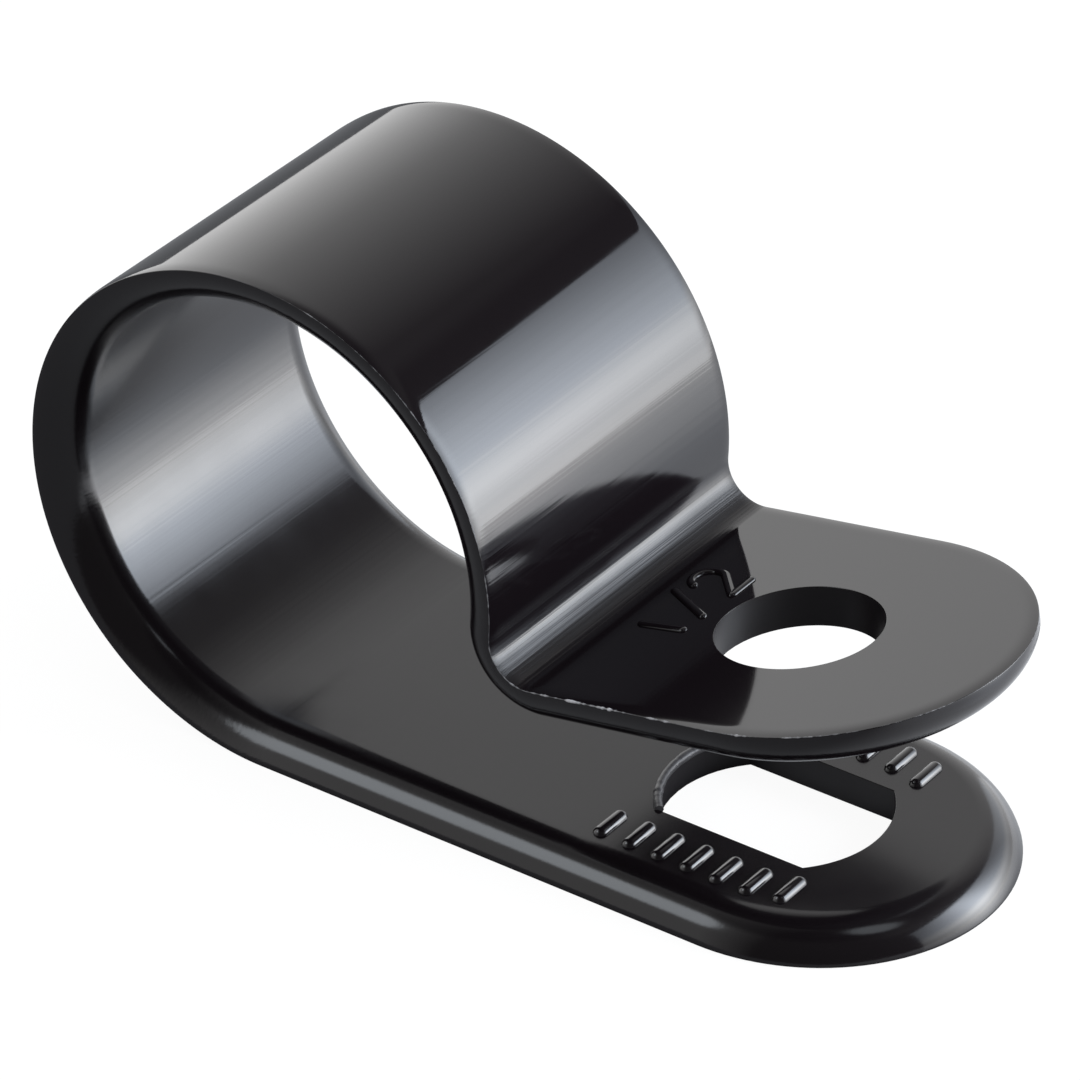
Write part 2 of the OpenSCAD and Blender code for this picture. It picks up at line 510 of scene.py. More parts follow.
def rim_rows(s, strap, rim):
    """Rows of vertices along the edge, from the inner flat over the rounding to the outer face."""
    root, out, up, back, wall, finish, inner_lines, outer_lines = rim
    arc_steps = 14
    corner_steps = 4
    roll_steps = 8
    polish = 0.6
    corner_skin = (CAVITY + CORE) / 2
    edge_r = (s.edge_w**2 + s.edge_depth**2) / (2 * s.edge_depth)
    rows = []
    # The rounding gets glossier outwards, and the base's dull finish runs out on its inner part
    for lean in np.linspace(pi / 2, asin(1 - s.edge_depth / edge_r), arc_steps + 1):
        points = root + edge_r * cos(lean) * out + edge_r * (sin(lean) - 1) * up
        dulled = (finish - CORE) * max(0.0, 1 - 2 * cos(lean))
        skin = CORE - polish * cos(lean) + dulled
        rows.append(strap.row(points, cos(lean) * out + sin(lean) * up, skin, inner_lines))
    # The outer face falls off towards its edge, except under the base
    roll_h = s.roll_h * np.clip(2 * (back[:, 2:] + 1), 0, 1)
    slope = 3 * roll_h / s.roll_w
    for share in np.linspace(0, 1, corner_steps + 1):
        lean = share * (pi / 2 - np.arctan(slope))
        sideways = s.edge_w - s.corner * (1 - np.cos(lean))
        down = wall[:, None] - roll_h - s.corner * (1 - np.sin(lean))
        normals = np.cos(lean) * out + np.sin(lean) * back
        rows.append(strap.row(root + sideways * out - down * up, normals, corner_skin, outer_lines))
    for share in np.linspace(1, 0, roll_steps + 1)[1:]:
        sideways = s.edge_w - s.corner - s.roll_w * (1 - share)
        down = wall[:, None] - roll_h * share**3
        normals = back + slope * share**2 * out
        rows.append(strap.row(root + sideways * out - down * up, normals, CAVITY, outer_lines))
    for one, other in zip(rows, rows[1:]):
        strap.band(one, other, closed=True)
    return rows


def hole_bearings(boundary, centre, along, corners):
    """Bearings from a hole's centre to the vertices round it, and those that lie nearest to its corners."""
    offsets = boundary - centre
    bearings = np.arctan2(offsets @ ACROSS, offsets @ along)
    spots = [np.argmin(np.abs(np.angle(np.exp(1j * (bearings - corner))))) for corner in corners]
    return bearings, spots


def pierce(s, strap, rings, centres, along, normal, tilt, finish, outline, corners):
    """Fills both faces round a hole and lines the hole's wall.

    Rings and centres are those of the inner and the outer face. The outline gives the hole's radius at
    a bearing for a growth of its size, and corners gives the bearings of its corners.
    """
    ring_steps = 5
    hair = 0.001 * MM
    inner_ring, outer_ring = rings
    inner_centre, outer_centre = centres
    bearings, spots = hole_bearings(strap.place(outer_ring), outer_centre, along, corners(0.0))
    depth = np.linalg.norm(outer_centre - inner_centre)

    def ring(growth, share, normals, skin):
        turned = bearings.copy()
        turned[spots] = corners(growth)
        reach = outline(turned, growth)[:, None]
        way = np.cos(turned)[:, None] / cos(tilt) * along + np.sin(turned)[:, None] * ACROSS
        centre = inner_centre + share * (outer_centre - inner_centre)
        return strap.row(centre + reach * way, normals, skin, 0.0)

    inward = np.stack([-np.cos(bearings), -np.sin(bearings), np.zeros(len(bearings))], 1)
    # Straight sides lie nearer to the centre than the round ends, and face straight across
    flat = outline(bearings, 0.0) < outline(bearings * 0.0, 0.0) - hair
    inward[flat, 0] = 0.0
    fine = s.corner / depth
    rows = [
        ring(s.corner, 0.0, normal, finish),
        ring(0.0, fine, inward, PIN),
        ring(0.0, 1 - fine, inward, PIN),
        ring(s.corner, 1.0, -normal, CAVITY),
    ]
    for one, other in zip(rows, rows[1:]):
        strap.band(one, other, closed=True)
    faces = ((rows[0], inner_ring, normal, finish), (rows[-1], outer_ring, -normal, CAVITY))
    for hole, edge, facing, skin in faces:
        before = hole
        start = strap.place(hole)
        stop = strap.place(edge)
        for step in range(1, ring_steps):
            between = strap.row(start + (stop - start) * step / ring_steps, facing, skin, 0.0)
            strap.band(before, between, closed=True)
            before = between
        strap.band(before, edge, closed=True)


def build_strap(s):
    """Mesh of the whole strap."""
    columns = 20
    view = SideView(s)
    stations, first, last = strap_stations(s, view)
    inner, normal, back, _, finish, inner_lines, outer_lines = stations
    rim = rim_stations(view, stations)
    strap = StrapMesh()
    rows = rim_rows(s, strap, rim)
    # Vertex k of a row's near side lies opposite vertex far_first - k of its far side
    far_first = len(rows[0]) - END_STEPS - 1

    crossings = {}
    plain = np.full(len(inner), CAVITY)
    for face, facing, skin, lines in ((0, normal, finish, inner_lines), (-1, back, plain, outer_lines)):
        row = rows[face]
        for k in range(first, last + 1):
            ends = strap.place(row[[k, far_first - k]])
            shares = np.linspace(0, 1, columns + 1)[1:-1, None]
            middle = strap.row(ends[0] + shares * (ends[1] - ends[0]), lift(facing[k])[0], skin[k], lines[k])
            crossings[face, k] = np.concatenate([[row[k]], middle, [row[far_first - k]]])
        for k in range(first, last):
            strap.band(crossings[face, k], crossings[face, k + 1])

    def ring(face, at_tab):
        row = rows[face]
        if at_tab:
            return np.concatenate([row[last : far_first - last + 1], crossings[face, last][-2:0:-1]])
        way = np.concatenate([row[far_first - first :], row[: first + 1]])
        return np.concatenate([way, crossings[face, first][1:-1]])

    def slot_outline(bearings, growth):
        sides = np.maximum(np.abs(np.sin(bearings)), 1e-6)
        return np.minimum(s.slot_l / 2 + growth, (s.slot_w / 2 + growth) / sides)

    def slot_corners(growth):
        lean = asin((s.slot_w / 2 + growth) / (s.slot_l / 2 + growth))
        return [lean, pi - lean, lean - pi, -lean]

    def hole_outline(bearings, growth):
        return np.full(len(bearings), s.hole_r + growth)

    def hole_corners(growth):
        return []

    slot_rings = (ring(0, False), ring(-1, False))
    slot_centres = (np.array([0.0, 0.0, view.base_wall]), np.zeros(3))
    pierce(s, strap, slot_rings, slot_centres, ALONG, UP, 0.0, DULL, slot_outline, slot_corners)
    hole_top = lift(view.hole_top)[0]
    hole_rings = (ring(0, True), ring(-1, True))
    hole_centres = (hole_top - UP * s.tab_wall / cos(s.tab_tilt), hole_top)
    along = lift(view.tab_along)[0]
    facing = -lift(view.tab_normal)[0]
    pierce(s, strap, hole_rings, hole_centres, along, facing, s.tab_tilt, CORE, hole_outline, hole_corners)
    return strap.mesh("clamp_strap")


# Grip ribs

def build_ribs(ribs, strap, material):
    """Mesh of both rows of ribs, which follow the edge of the base's flat."""
    view = SideView(strap)
    back_r = ((ribs.rib_w / 2) ** 2 + ribs.rib_h**2) / (2 * ribs.rib_h)
    values = {
        "Count": ribs.count,
        "Pitch": ribs.pitch,
        "Start": ribs.shift - ribs.pitch * (ribs.count - 1) / 2,
        "Back radius": back_r,
        "Half run": (ribs.rib_l - ribs.rib_w) / 2,
        "Sink": back_r - ribs.rib_h,
        "Bury": 0.05 * MM,
        "Flat half": view.flat_half,
        "Round start": strap.base_reach,
        "Reach in": ribs.inset + ribs.rib_l / 2,
        "Base top": view.base_wall,
        "Material": material,
    }
    tree, given = start_tree("Rows of grip ribs", values)
    start = node(tree, "ShaderNodeCombineXYZ", {"X": given["Start"], "Z": given["Base top"]})
    pitch = node(tree, "ShaderNodeCombineXYZ", {"X": given["Pitch"]})
    line = node(
        tree, "GeometryNodeMeshLine", {"Count": given["Count"], "Start Location": start, "Offset": pitch}
    )

    # The flat keeps its width up to the round end, then follows a circle
    spot = node(tree, "ShaderNodeSeparateXYZ", {0: node(tree, "GeometryNodeInputPosition")})
    past = node(tree, "ShaderNodeMath", {0: spot.outputs["X"], 1: given["Round start"]}, operation="SUBTRACT")
    past = node(tree, "ShaderNodeMath", {0: past, 1: 0.0}, operation="MAXIMUM")
    past = node(tree, "ShaderNodeMath", {0: past, 1: past}, operation="MULTIPLY")
    flat = node(tree, "ShaderNodeMath", {0: given["Flat half"], 1: given["Flat half"]}, operation="MULTIPLY")
    flat = node(tree, "ShaderNodeMath", {0: flat, 1: past}, operation="SUBTRACT")
    flat = node(tree, "ShaderNodeMath", {0: flat}, operation="SQRT")
    aside = node(tree, "ShaderNodeMath", {0: flat, 1: given["Reach in"]}, operation="SUBTRACT")
    rows = node(tree, "GeometryNodeJoinGeometry")
    for side in (-1.0, 1.0):
        offset = node(tree, "ShaderNodeMath", {0: aside, 1: side}, operation="MULTIPLY")
        offset = node(tree, "ShaderNodeCombineXYZ", {"Y": offset})
        moved = node(tree, "GeometryNodeSetPosition", {"Geometry": line, "Offset": offset})
        tree.links.new(moved.outputs[0], rows.inputs[0])

    # One rib: a ball with its poles along Y, pulled apart at its middle and cut flat below the base's top
    ball = node(
        tree, "GeometryNodeMeshUVSphere", {"Segments": 32, "Rings": 21, "Radius": given["Back radius"]}
    )
    ball = node(tree, "GeometryNodeTransform", {"Geometry": ball, "Rotation": (pi / 2, 0.0, 0.0)})
    spot = node(tree, "ShaderNodeSeparateXYZ", {0: node(tree, "GeometryNodeInputPosition")})
    end = node(tree, "ShaderNodeMath", {0: spot.outputs["Y"]}, operation="SIGN")
    run = node(
        tree, "ShaderNodeMath", {0: end, 1: given["Half run"], 2: spot.outputs["Y"]}, operation="MULTIPLY_ADD"
    )
    sunk = node(tree, "ShaderNodeMath", {0: spot.outputs["Z"], 1: given["Sink"]}, operation="SUBTRACT")
    rib = press_flat(tree, ball, spot.outputs["X"], run, sunk, given["Bury"])
    rib = node(tree, "GeometryNodeStoreNamedAttribute", {"Geometry": rib, "Name": "finish", "Value": CORE})
    ribs_made = node(tree, "GeometryNodeInstanceOnPoints", {"Points": rows, "Instance": rib})
    end_tree(tree, ribs_made, given["Material"])
    return grow("grip_ribs", bpy.data.meshes.new("grip_ribs_source"), tree, values)


# Size mark

def mark_strokes(mark):
    """Strokes of the number one half, in the tab's plane: X across the strap and Y towards the bend."""
    top = mark.foot + mark.height
    # The one and the bar run from their tops to their feet, and the two from its bowl to its foot
    one_x = np.array([-1.58, -1.42]) * MM
    bar_x = np.array([0.65, -0.56]) * MM
    one = np.column_stack([one_x, [top - 0.1 * MM, mark.foot]])
    bar = np.column_stack([bar_x, [top + 0.15 * MM, mark.foot - 0.05 * MM]])
    bowl_x = 1.57 * MM
    bowl_r = 0.3 * mark.height
    bowl = np.radians(np.linspace(170.0, -38.0, 24))
    arc = np.stack([bowl_x + bowl_r * np.cos(bowl), top - bowl_r + bowl_r * np.sin(bowl)], 1)
    left = bowl_x - mark.figure_w / 2
    foot = np.array([[left, mark.foot], [left + mark.figure_w, mark.foot]])
    two = np.concatenate([arc, foot])
    return [np.pad(line, ((0, 0), (0, 1))) for line in (one, bar, two)]


def build_mark(mark, strap, material):
    """Mesh of the raised strokes on the tab."""
    values = {
        "Half width": mark.stroke_w / 2,
        "Step": mark.stroke_w / 10,
        "Flatness": mark.stroke_h / (mark.stroke_w / 2),
        "Bury": 0.03 * MM,
        "Material": material,
    }
    tree, given = start_tree("Raised strokes", values)
    path = even_path(tree, given)

    # Round ends: the stroke narrows as a circle over half its width, down to a fine tip
    tip = 0.02
    here = node(tree, "GeometryNodeSplineParameter").outputs["Length"]
    whole = node(tree, "GeometryNodeSplineLength")
    rest = node(tree, "ShaderNodeMath", {0: whole, 1: here}, operation="SUBTRACT")
    end = node(tree, "ShaderNodeMath", {0: here, 1: rest}, operation="MINIMUM")
    end = node(tree, "ShaderNodeMapRange", {"Value": end, "From Max": given["Half width"], "To Min": tip})
    far = node(tree, "ShaderNodeMath", {0: 2.0, 1: end}, operation="SUBTRACT")
    girth = node(tree, "ShaderNodeMath", {0: end, 1: far}, operation="MULTIPLY")
    girth = node(tree, "ShaderNodeMath", {0: girth}, operation="SQRT")
    stroke = sweep(tree, path, given["Half width"], girth, sides=20)

    # The round stroke is pressed to its height
    spot = node(tree, "ShaderNodeSeparateXYZ", {0: node(tree, "GeometryNodeInputPosition")})
    height = node(tree, "ShaderNodeMath", {0: spot.outputs["Z"], 1: given["Flatness"]}, operation="MULTIPLY")
    pressed = press_flat(tree, stroke, spot.outputs["X"], spot.outputs["Y"], height, given["Bury"])
    end_tree(tree, pressed, given["Material"])
    mesh = grow("size_mark", paths("size_mark_source", mark_strokes(mark)), tree, values)

    view = SideView(strap)
    axes = [ACROSS, -lift(view.tab_along)[0], lift(view.tab_normal)[0]]
    turn = Matrix([Vector(axis) for axis in axes]).transposed().to_4x4()
    mesh.transform(Matrix.Translation(lift(view.hole_top)[0]) @ turn)
    return mesh


# Mould flash

def edge_line(strap):
    """Near outer edge from the top of the loop over the bend and round most of the tab's end."""
    view = SideView(strap)
    stations, *_ = strap_stations(strap, view)
    root, out, up, _, wall, *_ = rim_stations(view, stations)
    edge = root + strap.edge_w * out - (wall - strap.roll_h)[:, None] * up
    count = len(stations[0])
    start = np.argmax(edge[:count, 2])
    return edge[start : count + 2 * END_STEPS // 3]


def lip_line(strap):
    """Top edge of the slot's round end by the loop."""
    view = SideView(strap)
    lean = asin(strap.slot_w / strap.slot_l)
    turns = np.linspace(pi - lean, pi + lean, 40)
    arc = strap.slot_l / 2 * round_points(turns)
    return np.column_stack([arc, np.full(len(turns), view.base_wall)])


def build_flash(name, line, bead, shares, flash, material):
    """Mesh of a bead along a line, patchy and lumpy, with its shares by name."""
    values = {
        "Step": flash.step,
        "Bead": bead,
        **shares,
        "Patch": flash.patch,
        "Lump": flash.lump,
        "Seed": float(flash.seed),
        "Material": material,
    }
    tree, given = start_tree("Patchy flash", values)
    path = even_path(tree, given)

    def noise(size, low, high, least):
        often = node(tree, "ShaderNodeMath", {0: 1.0, 1: size}, operation="DIVIDE")
        waves = {"W": given["Seed"], "Scale": often, "Detail": 2.0}
        rough = node(tree, "ShaderNodeTexNoise", waves, noise_dimensions="4D")
        limits = {"Value": rough, "From Min": low, "From Max": high, "To Min": least}
        return node(tree, "ShaderNodeMapRange", limits)

    patches = noise(given["Patch"], 0.42, 0.6, given["Least"])
    lumps = noise(given["Lump"], 0.38, 0.6, given["Even"])
    girth = node(tree, "ShaderNodeMath", {0: patches, 1: lumps}, operation="MULTIPLY")

    # The bead grows over a stretch before the line's middle, and shrinks again over one past it
    along = node(tree, "GeometryNodeSplineParameter").outputs["Factor"]
    for start, stop in ((0.42, 0.5), (0.74, 0.62)):
        limits = {"Value": along, "From Min": start, "From Max": stop, "To Min": given["Ends"]}
        share = node(tree, "ShaderNodeMapRange", limits)
        girth = node(tree, "ShaderNodeMath", {0: girth, 1: share}, operation="MULTIPLY")
    # Painted highlight: the bead is white where it is thick
    white = node(tree, "ShaderNodeMath", {0: girth, 1: given["Torn"]}, operation="MULTIPLY")
    for label, value in (("torn", white), ("finish", PIN)):
        stored = {"Geometry": path, "Name": label, "Value": value}
        path = node(tree, "GeometryNodeStoreNamedAttribute", stored)
    end_tree(tree, sweep(tree, path, given["Bead"], girth, sides=8), given["Material"])
    return grow(name, paths(name + "_source", [line]), tree, values)


# Materials

def start_shader(name):
    """New material with an empty node tree."""
    material = bpy.data.materials.new(name)
    material.use_nodes = True
    material.node_tree.nodes.clear()
    return material, material.node_tree


def moulded_nylon(look):
    """Black nylon from a polished mould, glossy outside and duller where it drew off the core."""
    name = "Black nylon, moulded"
    if name in bpy.data.materials:
        return bpy.data.materials[name]
    line_rough = 0.14
    drag_start = 1.8
    drag_rough = 0.24
    core_mirror = 0.66
    base_mirror = 0.37
    cavity_share = 0.74
    second_share = 0.1
    material, tree = start_shader(name)
    spot = node(tree, "ShaderNodeTexCoord").outputs["Object"]
    finish = node(tree, "ShaderNodeAttribute", attribute_name="finish").outputs["Fac"]
    lines = node(tree, "ShaderNodeAttribute", attribute_name="tool_lines").outputs["Fac"]

    # Soft patches of haze break up the gloss, so that the highlights aren't even
    haze = node(tree, "ShaderNodeTexNoise", {"Vector": spot, "Scale": 1.0 / look.haze, "Detail": 2.0})
    patches = {"Value": haze, "From Min": 0.3, "From Max": 0.7, "To Min": 0.85, "To Max": 1.15}
    haze = node(tree, "ShaderNodeMapRange", patches)
    gloss = node(tree, "ShaderNodeMapRange", {"Value": finish, "To Min": look.cavity, "To Max": look.core})
    gloss = node(tree, "ShaderNodeMath", {0: lines, 1: line_rough, 2: gloss}, operation="MULTIPLY_ADD")
    # The walls that a pin draws out of are rougher still
    dragged = {"Value": finish, "From Min": drag_start, "From Max": PIN, "To Max": drag_rough}
    drag = node(tree, "ShaderNodeMapRange", dragged)
    gloss = node(tree, "ShaderNodeMath", {0: gloss, 1: drag}, operation="ADD")
    gloss = node(tree, "ShaderNodeMath", {0: gloss, 1: haze}, operation="MULTIPLY")

    # Tool lines run across the strap and draw reflections out into streaks
    fine = 1.0 / look.line_spacing
    drawn = node(tree, "ShaderNodeMapping", {"Vector": spot, "Scale": (fine, 1.0 / look.line_run, fine)})
    grain = {"Vector": drawn, "Scale": 1.0, "Detail": 3.0, "Roughness": 0.6}
    ridges = node(tree, "ShaderNodeTexNoise", grain)
    skin = node(tree, "ShaderNodeBump", {"Strength": lines, "Distance": look.line_depth, "Height": ridges})

    # The base mirrors less than the rest. Light that a polished face mirrors is polarised, and a second one
    # set crosswise mirrors hardly any of it, so loop and tab are dark in each other
    levels = {"From Min": CORE, "From Max": DULL, "To Min": core_mirror, "To Max": base_mirror}
    mirror = node(tree, "ShaderNodeMapRange", {"Value": finish, **levels})
    second = node(tree, "ShaderNodeLightPath").outputs["Is Glossy Ray"]
    polished = node(tree, "ShaderNodeMapRange", {"Value": finish, "To Min": 1.0, "To Max": 0.0})
    twice = node(tree, "ShaderNodeMath", {0: second, 1: polished}, operation="MULTIPLY")
    for value, share in ((twice, second_share), (polished, cavity_share)):
        kept = node(tree, "ShaderNodeMapRange", {"Value": value, "To Min": 1.0, "To Max": share})
        mirror = node(tree, "ShaderNodeMath", {0: mirror, 1: kept}, operation="MULTIPLY")

    # White on the flash is painted highlight, flecks that stand in for glints along its edges
    torn = node(tree, "ShaderNodeAttribute", attribute_name="torn").outputs["Fac"]
    dyes = {0: torn, 6: (*look.colour, 1.0), 7: (*look.torn, 1.0)}
    paint = node(tree, "ShaderNodeMix", dyes, data_type="RGBA").outputs[2]
    plastic = {
        "Base Color": paint,
        "Roughness": gloss,
        "IOR": 1.53,
        "Specular IOR Level": mirror,
        "Normal": skin,
    }
    nylon = node(tree, "ShaderNodeBsdfPrincipled", plastic)
    node(tree, "ShaderNodeOutputMaterial", {"Surface": nylon})
    return material


def to_eye(tree):
    """Whether the eye sees a surface directly or through something clear."""
    rays = node(tree, "ShaderNodeLightPath").outputs
    ways = {0: rays["Is Camera Ray"], 1: rays["Is Transmission Ray"]}
    return node(tree, "ShaderNodeMath", ways, operation="MAXIMUM")


def studio_floor():
    """Pale glossy board, plain white to the eye with a faint shadow, and in reflections a painted glow."""
    glow_level = 0.93
    lit_azimuth = 25.0
    dim_level = 0.24
    lit_level = 0.8
    sheen_level = 0.35
    contact = 5.0 * MM
    material, tree = start_shader("Pale lacquered board")
    glow = node(tree, "ShaderNodeEmission", {"Color": tint("#ffffff"), "Strength": glow_level})
    matt = node(tree, "ShaderNodeBsdfDiffuse", {"Color": tint("#616161")})
    white = node(tree, "ShaderNodeAddShader", {0: glow, 1: matt})

    # In reflections the board has a painted glow, bright and glossy behind the clamp, dark in front and far
    # left
    spot = node(tree, "ShaderNodeTexCoord").outputs["Object"]
    back = {0: spot, 1: bearing(lit_azimuth)}
    behind = node(tree, "ShaderNodeVectorMath", back, operation="DOT_PRODUCT").outputs[1]
    limits = {"Value": behind, "From Min": -6.0 * MM, "From Max": 7.0 * MM}
    lit = node(tree, "ShaderNodeMapRange", limits, interpolation_type="SMOOTHSTEP")
    beside = node(tree, "ShaderNodeSeparateXYZ", {0: spot}).outputs["X"]
    limits = {"Value": beside, "From Min": -36.0 * MM, "From Max": -22.0 * MM}
    beside = node(tree, "ShaderNodeMapRange", limits)
    lit = node(tree, "ShaderNodeMath", {0: lit, 1: beside}, operation="MULTIPLY")
    # Painted contact shadow: close to the clamp the glow and the sheen darken
    near = node(tree, "ShaderNodeAmbientOcclusion", {"Distance": contact}, samples=6).outputs["AO"]
    near = node(tree, "ShaderNodeMapRange", {"Value": near, "From Min": 0.3})
    level = node(tree, "ShaderNodeMapRange", {"Value": lit, "To Min": dim_level, "To Max": lit_level})
    level = node(tree, "ShaderNodeMath", {0: level, 1: near}, operation="MULTIPLY")
    sheen = node(tree, "ShaderNodeMath", {0: lit, 1: near}, operation="MULTIPLY")
    sheen = node(tree, "ShaderNodeMath", {0: sheen, 1: sheen_level}, operation="MULTIPLY")
    # The glow is painted light and shade, which the eye doesn't see directly
    painted_glow = node(tree, "ShaderNodeEmission", {"Color": tint("#f4f8ff"), "Strength": level})
    lacquer = {"Base Color": tint("#202020"), "Roughness": 0.12, "IOR": 1.5, "Specular IOR Level": sheen}
    gloss = node(tree, "ShaderNodeBsdfPrincipled", lacquer)
    board = node(tree, "ShaderNodeAddShader", {0: painted_glow, 1: gloss})
    shown = node(tree, "ShaderNodeMixShader", {0: to_eye(tree), 1: board, 2: white})
    node(tree, "ShaderNodeOutputMaterial", {"Surface": shown})
    return material


# Studio

def studio_world():
    """Surround that is plain white to the eye, and bright on the left and at the back in reflections."""
    front_shift = 0.2
    ambient = 0.6
    world = bpy.data.worlds.new("studio")
    world.use_nodes = True
    tree = world.node_tree
    tree.nodes.clear()
    way = node(tree, "ShaderNodeTexCoord").outputs["Generated"]
    way = node(tree, "ShaderNodeSeparateXYZ", {0: way}).outputs
    limits = {"Value": way["Y"], "From Min": -0.4, "From Max": 0.1, "To Min": 1.0, "To Max": 0.0}
    front = node(tree, "ShaderNodeMapRange", limits, interpolation_type="SMOOTHSTEP")
    right = node(tree, "ShaderNodeMath", {0: front, 1: front_shift, 2: way["X"]}, operation="MULTIPLY_ADD")

    # Levels of the left wall, of its far end and of the wall over the key light, then the shares of them
    # that are left in front, for the wall over the key light and for all, and at the ceiling
    labels = ("Value", "From Min", "From Max", "To Min", "To Max")
    ramps = (
        (right, -0.6, 0.27, 1.37, 0.04),
        (right, -0.87, -0.1, 2.2, 0.08),
        (way["Z"], 0.63, 0.68, 0.04, 0.17),
        (front, 0.0, 1.0, 1.0, 0.25),
        (front, 0.0, 1.0, 1.0, 0.8),
        (way["Z"], 0.75, 0.86, 1.0, 0.35),
    )
    made = [node(tree, "ShaderNodeMapRange", dict(zip(labels, ramp))) for ramp in ramps]
    left, far_left, level, key_front, all_front, ceiling = made
    for operation, others in (
        ("MULTIPLY", [key_front]), ("MAXIMUM", [left, far_left]), ("MULTIPLY", [all_front, ceiling])
    ):
        for other in others:
            level = node(tree, "ShaderNodeMath", {0: level, 1: other}, operation=operation)
    glossy = node(tree, "ShaderNodeLightPath").outputs["Is Glossy Ray"]
    level = node(tree, "ShaderNodeMix", {0: glossy, 2: ambient, 3: level})
    level = node(tree, "ShaderNodeMix", {0: to_eye(tree), 2: level, 3: 1.0})
    sky = node(tree, "ShaderNodeBackground", {"Color": tint("#ffffff"), "Strength": level})
    node(tree, "ShaderNodeOutputWorld", {"Surface": sky})
    return world


def softbox(name, place, aim, width, height, level):
    """Area lamp whose brightest part has the level, where 1 is white, and the tree that shapes its light."""
    lamp = bpy.data.lights.new(name, "AREA")
    lamp.shape = "RECTANGLE"
    lamp.size = width
    lamp.size_y = height
    lamp.energy = level * pi * width * height
    lamp.use_nodes = True
    made = add_object(name, lamp)
    made.location = place
    made.rotation_euler = (Vector(aim) - Vector(place)).to_track_quat("-Z", "Y").to_euler()
    made.visible_camera = False
    lamp.node_tree.nodes.clear()
    return lamp.node_tree


def bearing(azimuth, elevation=0.0):
    """Direction at an azimuth from +Y towards +X and at an elevation, in degrees."""
    turn = radians(azimuth)
    rise = radians(elevation)
    return Vector((sin(turn) * cos(rise), cos(turn) * cos(rise), sin(rise)))


def key_light(studio):
    """Softbox on the floor at the back right: hot at its lower middle, bluish above, fading to its sides."""
    left = 246.0 * MM
    right = 97.0 * MM
    height = 102.7 * MM
    hot_half = 36.0 * MM
    tail = 0.11
    level = 12.5
    shift = (left - right) / 2
    ahead = bearing(KEY_AZIMUTH)
    aside = Vector((-ahead.y, ahead.x, 0.0)) * shift
    up = Vector((0.0, 0.0, height / 2))
    place = ahead * studio.key_distance + aside + up
    tree = softbox("key_light", place, aside + up, left + right, height, level)
    spot = node(tree, "ShaderNodeTexCoord").outputs["Object"]
    spot = node(tree, "ShaderNodeSeparateXYZ", {0: spot}).outputs
    limits = {"Value": spot["Y"], "From Min": -height / 2, "From Max": height / 2}
    rise = node(tree, "ShaderNodeMapRange", limits)
    shade = node(tree, "ShaderNodeValToRGB", {"Fac": rise})
    stops = shade.color_ramp.elements
    stops[0].color = tint("#ffffff", 0.6)
    stops[-1].color = tint("#eaf3ff", 0.52)
    for share, part, hexa in (
        (0.12, 0.7, "#f8fbff"), (0.25, 0.94, "#f8fbff"), (0.34, 0.88, "#f4f9ff"),
        (0.45, 0.76, "#eaf3ff"), (0.64, 0.68, "#eaf3ff"), (0.8, 0.6, "#eaf3ff"),
    ):
        stops.new(share).color = tint(hexa, part)
    off = node(tree, "ShaderNodeMath", {0: spot["X"], 1: shift}, operation="ADD")
    off = node(tree, "ShaderNodeMath", {0: off, 1: hot_half}, operation="DIVIDE")
    off = node(tree, "ShaderNodeMath", {0: off, 1: off, 2: 1.0}, operation="MULTIPLY_ADD")
    fade = node(tree, "ShaderNodeMath", {0: 1.0, 1: off}, operation="DIVIDE")
    fade = node(tree, "ShaderNodeMath", {0: fade, 1: tail}, operation="MAXIMUM")
    glow = node(tree, "ShaderNodeEmission", {"Color": shade, "Strength": fade})
    node(tree, "ShaderNodeOutputLight", {"Surface": glow})


def soft_light(name, studio, azimuth, elevation, size, level):
    """Square lamp that is brightest in its middle and fades to its edge."""
    place = bearing(azimuth, elevation) * studio.lamp_distance
    tree = softbox(name, place, (0.0, 0.0, 0.0), size, size, level)
    spot = node(tree, "ShaderNodeTexCoord").outputs["Object"]
    aside = node(tree, "ShaderNodeVectorMath", {0: spot}, operation="LENGTH").outputs[1]
    limits = {"Value": aside, "From Min": 0.3 * size, "From Max": 0.5 * size, "To Min": 1.0, "To Max": 0.0}
    fade = node(tree, "ShaderNodeMapRange", limits, interpolation_type="SMOOTHSTEP")
    glow = node(tree, "ShaderNodeEmission", {"Color": tint("#eff7ff"), "Strength": fade})
    node(tree, "ShaderNodeOutputLight", {"Surface": glow})


def lay_floor(studio):
    """Round floor just below the clamp."""
    gap = 0.02 * MM
    shell = bmesh.new()
    middle = bearing(KEY_AZIMUTH) * studio.floor_shift - Vector((0.0, 0.0, gap))
    bmesh.ops.create_circle(
        shell, cap_ends=True, segments=128, radius=studio.floor_r, matrix=Matrix.Translation(middle)
    )
    mesh = bpy.data.meshes.new("floor")
    shell.to_mesh(mesh)
    shell.free()
    mesh.materials.append(studio_floor())
    add_object("floor", mesh)


def place_camera(scene, studio):
    """Camera at the photograph's viewing angle."""
    camera = add_object("camera", bpy.data.cameras.new("camera"))
    camera.data.lens = studio.lens
    camera.data.sensor_width = 36.0
    camera.data.clip_start = 0.01
    turn = Euler((pi / 2 - studio.elevation, 0.0, studio.azimuth))
    back = turn.to_matrix() @ Vector((0.0, 0.0, 1.0))
    camera.location = Vector((studio.target_x, 0.0, studio.target_z)) + back * studio.distance
    camera.rotation_euler = turn
    scene.camera = camera


# Operators

class CLAMP_OT_strap(Operator):
    """Build the strap: base, loop, bend and tab"""

    bl_idname = "clamp.strap"
    bl_label = "Strap"

    def execute(self, context):
        settings = context.scene.clamp
        mesh = build_strap(settings.strap)
        mesh.materials.append(moulded_nylon(settings.nylon))
        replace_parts(add_piece("clamp_strap", mesh), "cable_clamp")
        return {"FINISHED"}


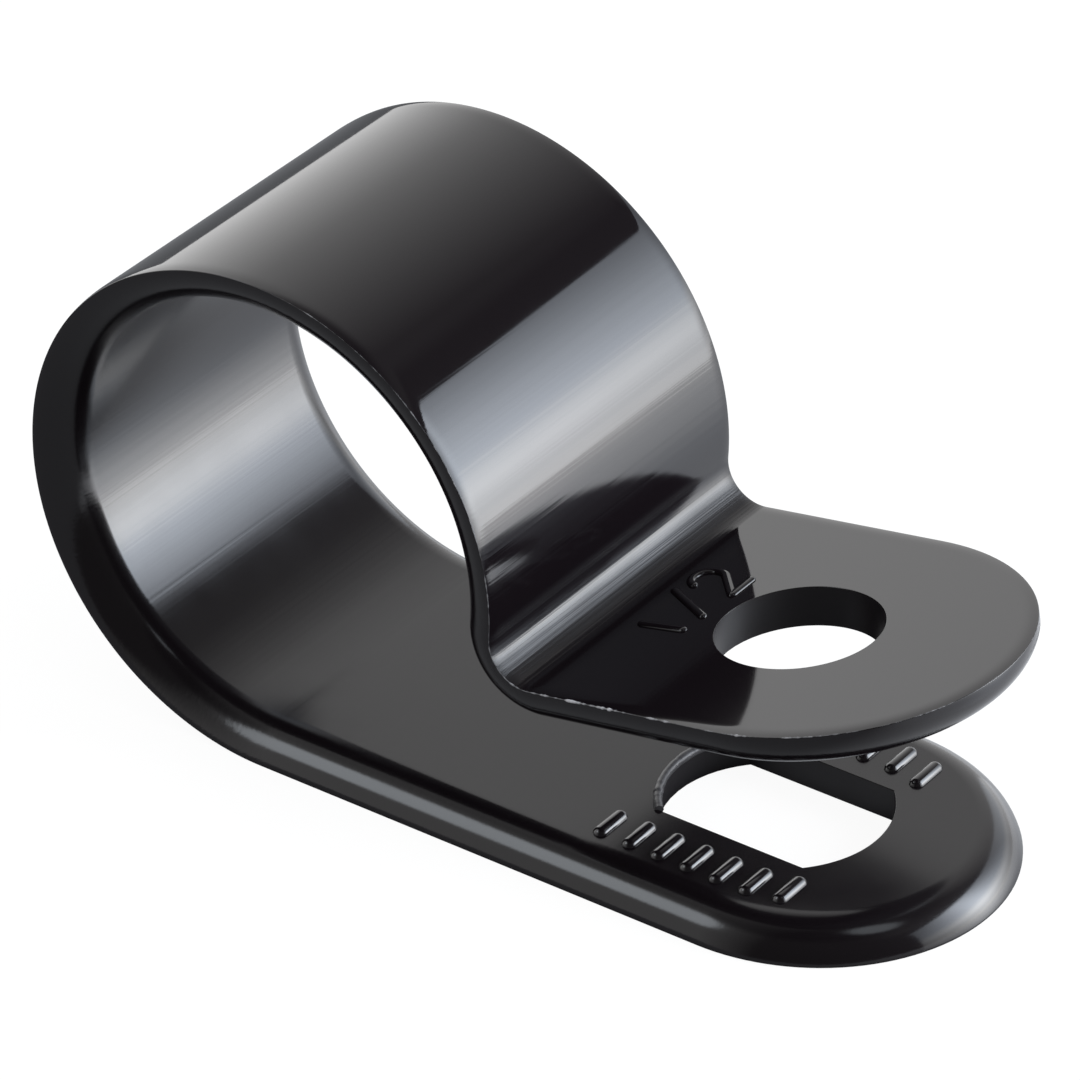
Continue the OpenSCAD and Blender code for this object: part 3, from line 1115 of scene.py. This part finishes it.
class CLAMP_OT_ribs(Operator):
    """Build the grip ribs beside the slot"""

    bl_idname = "clamp.ribs"
    bl_label = "Grip Ribs"

    def execute(self, context):
        settings = context.scene.clamp
        add_piece("grip_ribs", build_ribs(settings.ribs, settings.strap, moulded_nylon(settings.nylon)))
        return {"FINISHED"}


class CLAMP_OT_mark(Operator):
    """Build the raised size number on the tab"""

    bl_idname = "clamp.mark"
    bl_label = "Size Mark"

    def execute(self, context):
        settings = context.scene.clamp
        add_piece("size_mark", build_mark(settings.mark, settings.strap, moulded_nylon(settings.nylon)))
        return {"FINISHED"}


class CLAMP_OT_flash(Operator):
    """Build the fine flash along the parting edges"""

    bl_idname = "clamp.flash"
    bl_label = "Mould Flash"

    def execute(self, context):
        settings = context.scene.clamp
        flash = settings.flash
        nylon = moulded_nylon(settings.nylon)
        # Least radius between patches and between lumps, radius towards the line's ends, and painted
        # highlight
        edge = {"Least": 0.2, "Even": 0.3, "Ends": 0.35, "Torn": 0.85}
        lip = {"Least": 0.85, "Even": 0.95, "Ends": 1.0, "Torn": 0.1}
        for name, line, bead, shares in (
            ("edge_flash", edge_line(settings.strap), flash.bead, edge),
            ("slot_lip", lip_line(settings.strap), flash.lip, lip),
        ):
            add_piece(name, build_flash(name, line, bead, shares, flash, nylon))
        return {"FINISHED"}


class CLAMP_OT_stage(Operator):
    """Set up the floor, the studio light and the camera"""

    bl_idname = "clamp.stage"
    bl_label = "Stage"

    def execute(self, context):
        scene = context.scene
        studio = scene.clamp.studio
        scene.view_settings.view_transform = "Standard"
        scene.world = studio_world()
        lay_floor(studio)
        key_light(studio)
        # Azimuth and elevation in degrees, size, and level where 1 is white
        lamps = {"fill_light": (-138.0, 40.0, 240.0 * MM, 2.8), "top_light": (87.0, 66.0, 180.0 * MM, 1.2)}
        for name, lamp in lamps.items():
            soft_light(name, studio, *lamp)
        place_camera(scene, studio)
        return {"FINISHED"}


class CLAMP_PT_panel(Panel):
    """Panel of the clamp's pieces and its stage"""

    bl_label = "Cable Clamp"
    bl_idname = "CLAMP_PT_panel"
    bl_space_type = "VIEW_3D"
    bl_region_type = "UI"
    bl_category = "Cable Clamp"

    def draw(self, context):
        for made in OPERATORS:
            self.layout.operator(made.bl_idname)


GROUPS = (StrapSizes, RibSizes, MarkSizes, FlashSizes, NylonLook, StudioSettings, ClampSettings)
OPERATORS = (CLAMP_OT_strap, CLAMP_OT_ribs, CLAMP_OT_mark, CLAMP_OT_flash, CLAMP_OT_stage)
CLASSES = GROUPS + OPERATORS + (CLAMP_PT_panel,)


def register():
    for made in CLASSES:
        bpy.utils.register_class(made)
    bpy.types.Scene.clamp = PointerProperty(type=ClampSettings)


def unregister():
    del bpy.types.Scene.clamp
    for made in reversed(CLASSES):
        bpy.utils.unregister_class(made)


def main():
    register()
    for made in OPERATORS:
        group, name = made.bl_idname.split(".")
        getattr(getattr(bpy.ops, group), name)()


if __name__ == "__main__":
    main()
